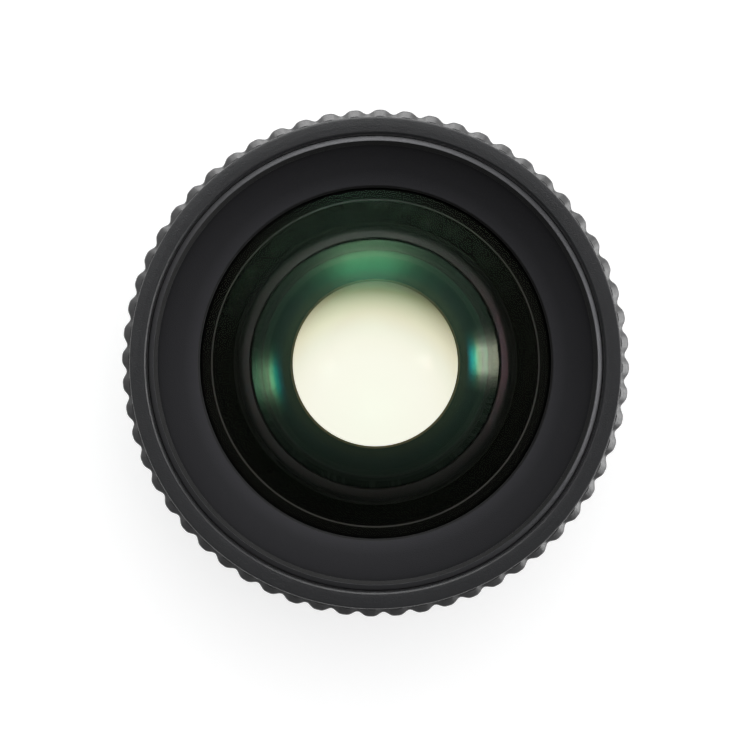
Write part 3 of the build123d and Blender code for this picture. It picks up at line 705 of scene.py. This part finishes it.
# Tapered rear housing: rim, rounded shoulder, taper and foot, with a spigot up into the shell
housing = {"rim": 2.4, "shoulder": 1.6, "footWall": 0.75, "footHeight": 0.9, "footEdge": 0.12, "floor": 1.6,
           "wall": 1.8, "floorBore": 17.8, "floorRadius": 23.8, "taperEnd": 7.85}
seatLevel = bottomOf("rear_housing")
flangeRadius = outerRadius("thread_ring") + baffle["gap"]
flangeTop = topOf("thread_ring")
spigotTop = topOf("rear_housing")
spigotBore = shellBore - housing["wall"]
footRadius = flangeRadius + housing["footWall"]
rearHousing = spin("rearHousing", roundCorners([
    (bandRadius, shellBottom, shell["lipEdge"]),
    (bandRadius, shellBottom - housing["rim"], housing["shoulder"]),
    (footRadius, seatLevel + housing["footHeight"], housing["footEdge"]),
    (footRadius, seatLevel, housing["footEdge"]),
    (flangeRadius, seatLevel, 0.05),
    (flangeRadius, flangeTop, 0),
    (housing["floorBore"], flangeTop, 0),
    (housing["floorBore"], flangeTop + housing["floor"], 0),
    (housing["floorRadius"], flangeTop + housing["floor"], 0.4),
    (spigotBore, housing["taperEnd"] + 0.3, 0.4),
    (spigotBore, spigotTop, 0.1),
    (shellBore, spigotTop, 0.2),
    (shellBore, shellBottom, 0),
], steps=9), [blackAnodised], steps=360)

# Thread ring: the flange is the seat on the camera's lens, with the thread below it
rearRing = {"threadRadius": 18.5, "threadDepth": 0.46, "pitch": 0.75, "wall": 1.1, "lead": 0.35,
            "undercut": 0.5, "edge": 0.08, "threadStart": 0.3, "threadEnds": 0.47}
coreRadius = rearRing["threadRadius"] - rearRing["threadDepth"]
threadBore = rearRing["threadRadius"] - rearRing["wall"]
threadRing = spin("threadRing", roundCorners([
    (threadBore, 0, rearRing["edge"]),
    (coreRadius, 0, rearRing["lead"] / 2),
    (coreRadius, seatLevel, 0.1),
    (outerRadius("thread_ring"), seatLevel, rearRing["edge"]),
    (outerRadius("thread_ring"), flangeTop, rearRing["edge"]),
    (threadBore, flangeTop, rearRing["edge"]),
]), [blackAnodised], steps=360)
rearLength = seatLevel - rearRing["undercut"] - rearRing["lead"]
rearTurns = rearLength / rearRing["pitch"] - rearRing["threadEnds"]
rearThread = finishMesh("rearThread", bmesh.new(), [blackAnodised])
applyNodes(rearThread, helixThread, {
    "Radius": coreRadius * mm,
    "Depth": rearRing["threadDepth"] * mm,
    "Pitch": rearRing["pitch"] * mm,
    "Turns": rearTurns,
    "Bottom": (rearRing["lead"] + rearRing["threadStart"] * rearRing["pitch"]) * mm,
    "Steps": int(240 * rearTurns),
    "Material": blackAnodised,
})
print("shell, housing and thread ring made")


# Screws: each is turned about its own axis, then copied round the lens

def hexReach(angle, size):
    return size * cos(pi / 6) / cos(angle % (pi / 3) - pi / 6)


def crossReach(angle, size, halfWidth):
    fold = angle % (pi / 2)
    fold = min(fold, pi / 2 - fold)
    return min(size / cos(fold), halfWidth / max(sin(fold), 1e-6))


def turnedPin(name, spot, inward, outline, material, reach=None, extraAngles=()):
    # outline is (radius, depth) in mm from the face inwards; a radius of None follows the driver's recess
    inward = Vector(inward)
    side = Vector((0, 0, 1)) if abs(inward.z) < 0.5 else Vector((1, 0, 0))
    other = inward.cross(side)
    angles = sorted([pi * step / 24 for step in range(48)] + list(extraAngles))
    bm = bmesh.new()
    rings = []
    for radius, depth in outline:
        ring = []
        for angle in angles:
            away = reach(angle) if radius is None else radius
            point = Vector(spot) + inward * depth + away * (side * cos(angle) + other * sin(angle))
            ring.append(bm.verts.new(point * mm))
        rings.append(ring)
    for upper, lower in zip(rings, rings[1:]):
        for index in range(len(angles)):
            follower = (index + 1) % len(angles)
            bm.faces.new((upper[index], upper[follower], lower[follower], lower[index]))
    bm.faces.new(rings[0])
    bm.faces.new(rings[-1])
    return finishMesh(name, bm, [material])


def roundTheLens(piece, count, turn, material):
    return applyNodes(piece, turnedCopies, {"Count": count, "Turn": radians(turn), "Weld": 1e-7,
                                            "Material": material})


# The holes are cut a little past the screws' ends, by overrun, and flare out to the surface
grub = {"radius": 0.8, "length": 3.4, "sink": 0.5, "socket": 0.44, "socketDepth": 0.6, "socketEdge": 0.06,
        "gap": 0.02, "edge": 0.14, "flare": 0.5, "flareFrom": 0.4, "overrun": 0.1, "count": 3, "turn": 90.0}
grubLevel = (shellBottom + spigotTop) / 2
grubSpot = (bandRadius - grub["sink"], 0, grubLevel)
hole = grub["radius"] + grub["gap"]
grubHoles = turnedPin("grubHoles", grubSpot, (-1, 0, 0), [
    (hole + grub["flare"], -grub["flareFrom"] - grub["flare"]),
    (hole, -grub["flareFrom"]),
    (hole, grub["length"] + grub["overrun"]),
], blackAnodised)
roundTheLens(grubHoles, grub["count"], grub["turn"], blackAnodised)
cutHoles([attachmentShell, rearHousing], grubHoles)
housingLockScrews = turnedPin("housingLockScrews", grubSpot, (-1, 0, 0), [
    (None, grub["socketDepth"]),
    (None, grub["socketEdge"]),
    (grub["socket"] + grub["socketEdge"], 0),
    (grub["radius"] - grub["edge"], 0),
    (grub["radius"], grub["edge"]),
    (grub["radius"], grub["length"] - grub["edge"]),
    (grub["radius"] - grub["edge"], grub["length"]),
], blackSteel, lambda angle: hexReach(angle, grub["socket"]))
roundTheLens(housingLockScrews, grub["count"], grub["turn"], blackSteel)

mountScrew = {"circle": 20.3, "headRadius": 1.2, "radius": 0.7, "length": 3.0, "recess": 0.65,
              "recessDepth": 0.3, "slotHalf": 0.15, "gap": 0.03, "edge": 0.05, "overcut": 0.2,
              "overrun": 0.1, "count": 3, "turn": 0.0}
headHeight = mountScrew["headRadius"] - mountScrew["radius"]
screwSpot = (mountScrew["circle"], 0, seatLevel)
head, shank = mountScrew["headRadius"] + mountScrew["gap"], mountScrew["radius"] + mountScrew["gap"]
screwHoles = turnedPin("screwHoles", screwSpot, (0, 0, 1), [
    (head + mountScrew["overcut"], -mountScrew["overcut"]),
    (shank, head - shank),
    (shank, mountScrew["length"] + mountScrew["overrun"]),
], blackAnodised)
roundTheLens(screwHoles, mountScrew["count"], mountScrew["turn"], blackAnodised)
cutHoles([threadRing, rearHousing], screwHoles)
crossCorner = atan2(mountScrew["slotHalf"], mountScrew["recess"])
crossCorners = [quarter * pi / 2 + sign * crossCorner for quarter in range(1, 4) for sign in (-1, 1)]
mountScrews = turnedPin("mountScrews", screwSpot, (0, 0, 1), [
    (None, mountScrew["recessDepth"]),
    (None, 0),
    (mountScrew["headRadius"] - mountScrew["edge"], 0),
    (mountScrew["headRadius"] - mountScrew["edge"] / 2, mountScrew["edge"]),
    (mountScrew["radius"], headHeight),
    (mountScrew["radius"], mountScrew["length"] - mountScrew["edge"]),
    (mountScrew["radius"] - mountScrew["edge"], mountScrew["length"]),
], blackSteel, lambda angle: crossReach(angle, mountScrew["recess"], mountScrew["slotHalf"]),
    crossCorners + [crossCorner, 2 * pi - crossCorner])
roundTheLens(mountScrews, mountScrew["count"], mountScrew["turn"], blackSteel)

for piece, slotName, nodeName in (
        (attachmentShell, "black_anodised", "attachment_shell"),
        (rearHousing, "black_anodised", "rear_housing"),
        (threadRing, "black_anodised", "thread_ring"),
        (housingLockScrews, "black_steel", "housing_lock_screws"),
        (mountScrews, "black_steel", "mount_screws")):
    placePiece(piece, "attachment_ring", slotName, nodeName)
placePiece(rearThread, "attachment_ring", "black_anodised")
print("screws made")

# Finishes of the nodes that keep their shape
finishes = {
    "main_barrel": barrelBlack,
    "bezel_lock_screws": blackSteel,
    "front_retaining_ring": deepBlack,
    "front_seat_gasket": sealRubber,
    "rear_retaining_ring": blackMatt,
    "front_glide_washer": glidePlastic,
    "rear_glide_washer": glidePlastic,
    "barrel_lock_ring": blackAnodised,
    "light_seal_ring": feltBlack,
}
for nodeName, material in finishes.items():
    nodes[nodeName].data.materials.clear()
    nodes[nodeName].data.materials.append(material)
print("finishes set")


# Studio: the patch of floor under the lens is what shows through the glass, with painted light and painted
# shadow, and a tint, as (distance, colour) from its middle, in mm and in shares of its radius
studio = {"floorHalf": 3.0, "floorPaint": (0.86, 0.86, 0.85, 1.0), "floorGlow": 0.34, "patchX": -1.0,
          "patchY": -10.0, "patchRadius": 28.0, "panelDistance": 0.62, "panelCentre": 0.03}


def addFloor():
    # A pale floor that keeps the shadow and shows white where it's lit
    mesh = bpy.data.meshes.new("floor")
    half = studio["floorHalf"]
    mesh.from_pydata([(-half, -half, 0), (half, -half, 0), (half, half, 0), (-half, half, 0)], [],
                     [(0, 1, 2, 3)])
    floor = bpy.data.objects.new("floor", mesh)
    bpy.context.scene.collection.objects.link(floor)
    material, tree = emptyMaterial("paleFloor")
    rays = addNode(tree, "ShaderNodeLightPath").outputs
    through = rays["Is Transmission Ray"]
    mirrored = calc(tree, "SUBTRACT", rays["Is Glossy Ray"], through)
    seen = calc(tree, "MAXIMUM", rays["Is Camera Ray"], mirrored)
    spot = addNode(tree, "ShaderNodeTexCoord").outputs["Object"]
    place = addNode(tree, "ShaderNodeSeparateXYZ", {0: spot})
    fromX = calc(tree, "SUBTRACT", place.outputs["X"], studio["patchX"] * mm)
    fromY = calc(tree, "SUBTRACT", place.outputs["Y"], studio["patchY"] * mm)
    squares = calc(tree, "ADD", calc(tree, "POWER", fromX, 2.0), calc(tree, "POWER", fromY, 2.0))
    away = calc(tree, "SQRT", squares)
    share = calc(tree, "DIVIDE", away, studio["patchRadius"] * mm)
    # Painted shadow: the patch darkens away from its middle, which lies towards the bottom side, so it is
    # darkest at the top side
    paintedShadowUnderLens = rampNode(tree, share, [
        (0.0, (0.98, 1.05, 0.99)), (0.39, (0.98, 1.02, 0.97)), (0.51, (0.95, 0.98, 0.91)),
        (0.58, (0.88, 0.92, 0.83)), (0.64, (0.82, 0.83, 0.71)), (0.68, (0.77, 0.77, 0.62)),
        (0.76, (0.52, 0.51, 0.38)), (0.85, (0.15, 0.15, 0.08)), (0.89, (0.08, 0.09, 0.05)),
        (0.96, (0.03, 0.05, 0.03))])
    paleness = addNode(tree, "ShaderNodeBsdfDiffuse", {"Color": studio["floorPaint"]})
    glow = addNode(tree, "ShaderNodeEmission", {
        "Color": (1.0, 1.0, 1.0, 1.0),
        "Strength": calc(tree, "MULTIPLY", seen, studio["floorGlow"]),
    })
    window = addNode(tree, "ShaderNodeEmission", {"Color": paintedShadowUnderLens, "Strength": through})
    both = addNode(tree, "ShaderNodeAddShader", {0: paleness.outputs[0], 1: glow.outputs[0]})
    whole = addNode(tree, "ShaderNodeAddShader", {0: both.outputs[0], 1: window.outputs[0]})
    addNode(tree, "ShaderNodeOutputMaterial", {"Surface": whole.outputs[0]})
    mesh.materials.append(material)
    return floor


def addSoftbox(name, azimuth, azimuthHalf, tilt, tiltHalf, strength, glossShare, mattShare, acrossStops,
               alongStops):
    # A curved panel of light on a sphere round the object; tilt is measured from straight up, in degrees.
    # Rays from polished surfaces see its full strength, those from satin and matt ones a share of it.
    # Light that a matt surface behind glass scatters counts as matt
    distance, centre = studio["panelDistance"], studio["panelCentre"]
    wide, high = 24, 12
    bm = bmesh.new()
    uvLayer = bm.loops.layers.uv.new("panel")
    grid = []
    for row in range(high + 1):
        lean = radians(tilt + tiltHalf * (2 * row / high - 1))
        grid.append([])
        for column in range(wide + 1):
            turn = radians(azimuth + azimuthHalf * (2 * column / wide - 1))
            grid[row].append(bm.verts.new((
                distance * sin(lean) * cos(turn),
                distance * sin(lean) * sin(turn),
                centre + distance * cos(lean),
            )))
    for row in range(high):
        for column in range(wide):
            corners = ((row, column), (row + 1, column), (row + 1, column + 1), (row, column + 1))
            face = bm.faces.new([grid[r][c] for r, c in corners])
            for loop, (r, c) in zip(face.loops, corners):
                loop[uvLayer].uv = (c / wide, r / high)
    mesh = bpy.data.meshes.new(name)
    bm.to_mesh(mesh)
    bm.free()
    material, tree = emptyMaterial(name)
    place = addNode(tree, "ShaderNodeUVMap", uv_map="panel")
    panel = addNode(tree, "ShaderNodeSeparateXYZ", {0: place.outputs[0]})
    colour = rampNode(tree, panel.outputs["Y"], acrossStops)
    edges = rampNode(tree, panel.outputs["X"], alongStops)
    inward = addNode(tree, "ShaderNodeNewGeometry").outputs["Backfacing"]
    mixed = addNode(tree, "ShaderNodeMix", {"Factor": 1.0}, data_type="RGBA", blend_type="MULTIPLY")
    tree.links.new(colour, mixed.inputs["A"])
    tree.links.new(edges, mixed.inputs["B"])
    rays = addNode(tree, "ShaderNodeLightPath").outputs
    satin = calc(tree, "SUBTRACT", rays["Is Glossy Ray"], rays["Is Singular Ray"])
    satin = calc(tree, "MAXIMUM", satin, 0.0)
    unscattered = calc(tree, "LESS_THAN", rays["Diffuse Depth"], 0.5)
    polished = calc(tree, "MULTIPLY", rays["Is Singular Ray"], unscattered)
    level = calc(tree, "MULTIPLY_ADD", satin, strength * (glossShare - mattShare), strength * mattShare)
    level = calc(tree, "MULTIPLY_ADD", polished, strength * (1 - mattShare), level)
    glow = addNode(tree, "ShaderNodeEmission", {
        "Color": mixed.outputs["Result"],
        "Strength": calc(tree, "MULTIPLY", inward, level),
    })
    clear = addNode(tree, "ShaderNodeBsdfTransparent")
    whole = addNode(tree, "ShaderNodeAddShader", {0: glow.outputs[0], 1: clear.outputs[0]})
    addNode(tree, "ShaderNodeOutputMaterial", {"Surface": whole.outputs[0]})
    mesh.materials.append(material)
    box = bpy.data.objects.new(name, mesh)
    bpy.context.scene.collection.objects.link(box)
    box.visible_camera = False
    box.visible_shadow = False
    return box


black, white = (0.0, 0.0, 0.0), (1.0, 1.0, 1.0)
addFloor()


def fadeStops(shares):
    # Grey stops from the middle outwards to both ends, as (distance from the middle, level)
    right = [(0.5 + away / 2, (level, level, level)) for away, level in shares]
    left = [(0.5 - away / 2, (level, level, level)) for away, level in reversed(shares[1:])]
    return left + right


roundFade = fadeStops([(0.0, 1.0), (0.2, 0.9), (0.38, 0.5), (0.52, 0.22), (0.72, 0.06), (1.0, 0.0)])
wideFade = fadeStops([(0.0, 1.0), (0.35, 0.85), (0.6, 0.55), (0.8, 0.25), (1.0, 0.0)])
even = [(0.0, black), (0.2, white), (0.8, white), (1.0, black)]
topBand = [(0.0, (0.24, 0.27, 0.30)), (0.1, (0.30, 0.33, 0.36)), (0.27, (0.29, 0.42, 0.45)),
           (0.46, (0.46, 0.73, 0.65)), (0.66, (0.76, 0.88, 0.79)), (0.77, (1.1, 0.88, 0.84)),
           (0.82, (0.66, 0.66, 0.6)), (1.0, (0.55, 0.55, 0.5))]
glowBand = [(0.0, black), (0.3, (0.8, 0.8, 0.8)), (0.7, white), (1.0, (0.8, 0.8, 0.8))]
rightFringe = [(0.0, black), (0.067, (0.0, 0.057, 0.125)), (0.133, (0.007, 0.15, 0.286)),
               (0.253, (0.143, 0.286, 0.375)), (0.373, (0.93, 0.43, 0.5)), (0.5, (1.0, 0.325, 0.536)),
               (0.58, (0.71, 0.36, 0.46)), (0.64, (0.56, 0.26, 0.32)), (0.70, (0.46, 0.26, 0.154)),
               (0.84, (0.07, 0.04, 0.03)), (0.97, black)]
leftFringe = [(0.0, black), (0.133, (0.0, 0.13, 0.28)), (0.253, (0.02, 0.49, 0.68)),
              (0.373, (0.97, 0.97, 0.93)), (0.5, (0.97, 0.44, 0.5)), (0.58, (0.5, 0.6, 0.55)),
              (0.64, (0.3, 0.3, 0.35)), (0.70, (0.66, 0.53, 0.3)), (0.84, (0.08, 0.06, 0.05)), (0.97, black)]

# Each panel's azimuth and tilt with their halves, its strength, the shares of it that satin and matt
# surfaces see, its colours across and its fade along
panels = {
    "topSoftbox": (94, 50, 38.5, 9.5, 5.6, 0.5, 0.25, topBand, roundFade),
    "topGlow": (98, 75, 24.5, 5.0, 1.6, 4.5, 0.5, glowBand, wideFade),
    "rightStrip": (2.5, 18, 42.9, 7.5, 32.0, 0.01, 0.01, rightFringe, roundFade),
    "leftStrip": (188, 22, 42.9, 7.5, 7.5, 0.04, 0.04, leftFringe, roundFade),
    "rightLow": (-2, 40, 75, 13, 0.6, 12.0, 0.3, even, wideFade),
    "topLow": (94, 40, 72, 15, 0.6, 9.0, 0.3, even, wideFade),
}
for panelName, panel in panels.items():
    addSoftbox(panelName, *panel)

# The room: its strength, how far it leans towards the top side and the right, and its darkest share.
# Matt surfaces see less of the lean to the top side, and polished glass more
roomLight = {"strength": 4.0, "darkest": 0.12, "mattLean": -0.1, "rightLean": 0.4, "polishLean": 0.9,
             "polishGain": 0.05}

world = bpy.data.worlds.new("studio")
bpy.context.scene.world = world
world.use_nodes = True
worldTree = world.node_tree
worldTree.nodes.clear()
direction = addNode(worldTree, "ShaderNodeSeparateXYZ",
                    {0: addNode(worldTree, "ShaderNodeTexCoord").outputs["Generated"]})
room = rampNode(worldTree, direction.outputs["Z"], [
    (0.0, (0.83, 0.83, 0.84)), (0.35, (0.65, 0.65, 0.66)), (0.5, (0.35, 0.35, 0.355)),
    (0.75, (0.14, 0.14, 0.142)), (1.0, (0.075, 0.075, 0.075))])
inSatin = rampNode(worldTree, direction.outputs["Z"], [
    (0.0, (0.24, 0.24, 0.24)), (0.5, (0.2, 0.2, 0.2)), (0.75, (0.14, 0.14, 0.142)),
    (1.0, (0.075, 0.075, 0.075))])
inPolish = rampNode(worldTree, direction.outputs["Z"], [
    (0.0, (0.2, 0.2, 0.2)), (0.50, (0.2, 0.2, 0.2)), (0.60, (0.22, 0.17, 0.2)),
    (0.70, (0.18, 0.125, 0.15)), (0.77, (0.09, 0.07, 0.10)), (0.81, (0.143, 0.097, 0.138)),
    (0.835, (0.27, 0.14, 0.166)), (1.0, (0.10, 0.10, 0.10))])
rays = addNode(worldTree, "ShaderNodeLightPath").outputs
sideways = calc(worldTree, "SUBTRACT", 1.0, direction.outputs["Z"])
towardsTop = calc(worldTree, "MULTIPLY", direction.outputs["Y"], sideways)
towardsRight = calc(worldTree, "MULTIPLY", direction.outputs["X"], sideways)
notMatt = calc(worldTree, "MULTIPLY_ADD", rays["Is Diffuse Ray"], roomLight["mattLean"], 1.0)
lean = calc(worldTree, "MULTIPLY", towardsTop, notMatt)
lean = calc(worldTree, "MULTIPLY_ADD", towardsRight, roomLight["rightLean"], lean)
inGlass = calc(worldTree, "MULTIPLY_ADD", direction.outputs["Y"], roomLight["polishLean"],
               roomLight["polishGain"])
lean = calc(worldTree, "MULTIPLY_ADD", inGlass, rays["Is Singular Ray"], lean)
share = calc(worldTree, "MAXIMUM", calc(worldTree, "ADD", lean, 1.0), roomLight["darkest"])
brightness = calc(worldTree, "MULTIPLY", share, roomLight["strength"])
forSatin = addNode(worldTree, "ShaderNodeMixRGB", {0: rays["Is Glossy Ray"], 1: room, 2: inSatin})
forPolish = addNode(worldTree, "ShaderNodeMixRGB", {
    0: rays["Is Singular Ray"],
    1: forSatin.outputs[0],
    2: inPolish,
})
allRoom = addNode(worldTree, "ShaderNodeBackground", {"Color": forPolish.outputs[0], "Strength": brightness})
whiteBack = addNode(worldTree, "ShaderNodeBackground", {"Color": (1, 1, 1, 1), "Strength": 1.0})
shown = addNode(worldTree, "ShaderNodeMixShader", {
    0: rays["Is Camera Ray"],
    1: allRoom.outputs[0],
    2: whiteBack.outputs[0],
})
addNode(worldTree, "ShaderNodeOutputWorld", {"Surface": shown.outputs[0]})

# Camera, straight above, as in the photograph
photo = {"distance": 0.7, "pixel": 0.1238 * mm, "side": 750, "x": -1.0 * mm, "y": -3.4 * mm,
         "shiftX": 0.010, "shiftY": 0.0204, "sensor": 36.0}
cameraData = bpy.data.cameras.new("camera")
camera = bpy.data.objects.new("camera", cameraData)
bpy.context.scene.collection.objects.link(camera)
bpy.context.scene.camera = camera
camera.location = (photo["x"], photo["y"], topOf("front_bezel") * mm + photo["distance"])
cameraData.sensor_width = photo["sensor"]
cameraData.lens = photo["sensor"] * photo["distance"] / (photo["pixel"] * photo["side"])
cameraData.shift_x = photo["shiftX"]
cameraData.shift_y = photo["shiftY"]
cameraData.clip_start, cameraData.clip_end = 0.01, 20.0

bpy.context.scene.view_settings.view_transform = "Standard"

print("studio set")
